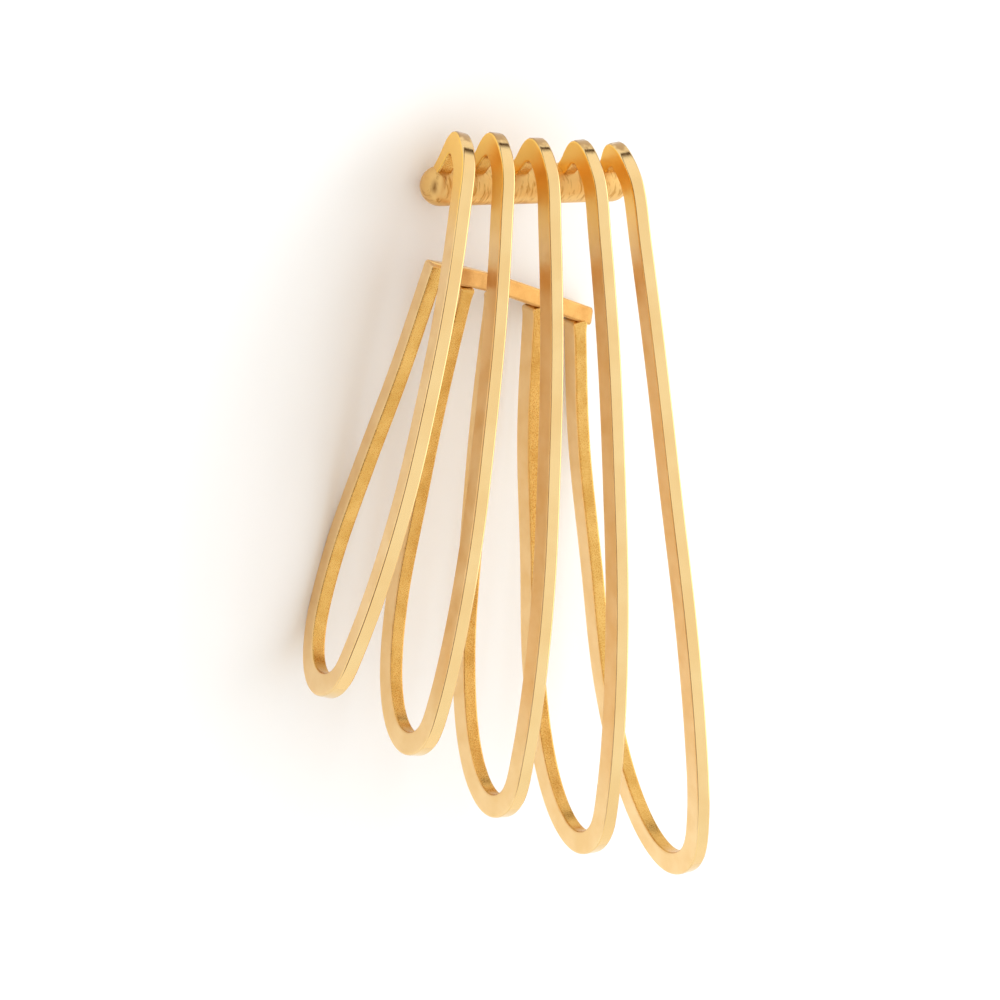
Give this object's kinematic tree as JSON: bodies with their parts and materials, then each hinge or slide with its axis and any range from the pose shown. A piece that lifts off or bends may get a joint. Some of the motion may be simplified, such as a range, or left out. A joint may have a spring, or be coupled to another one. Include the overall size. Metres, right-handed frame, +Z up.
{
  "type": "ear cuff",
  "caption": "Gold ear cuff of long open wire loops that fan out from a round top bar, with a crossbar behind them; the ear's rim goes between the bars.",
  "frame": {"origin": "centre of the bounding box's underside, on the surface that the cuff lies on", "axes": "+Z up while the cuff lies on its back with the front runs of its loops upward, +Y toward the loops' tops and the round bar, +X to the right from the shortest loop to the longest"},
  "size_m": [0.0246, 0.043, 0.015],
  "materials": {
    "gold": "polished gold over brass, satin on the inner faces"
  },
  "bodies": {
    "root": {"cuff_frame": "gold"}
  },
  "joints": []
}
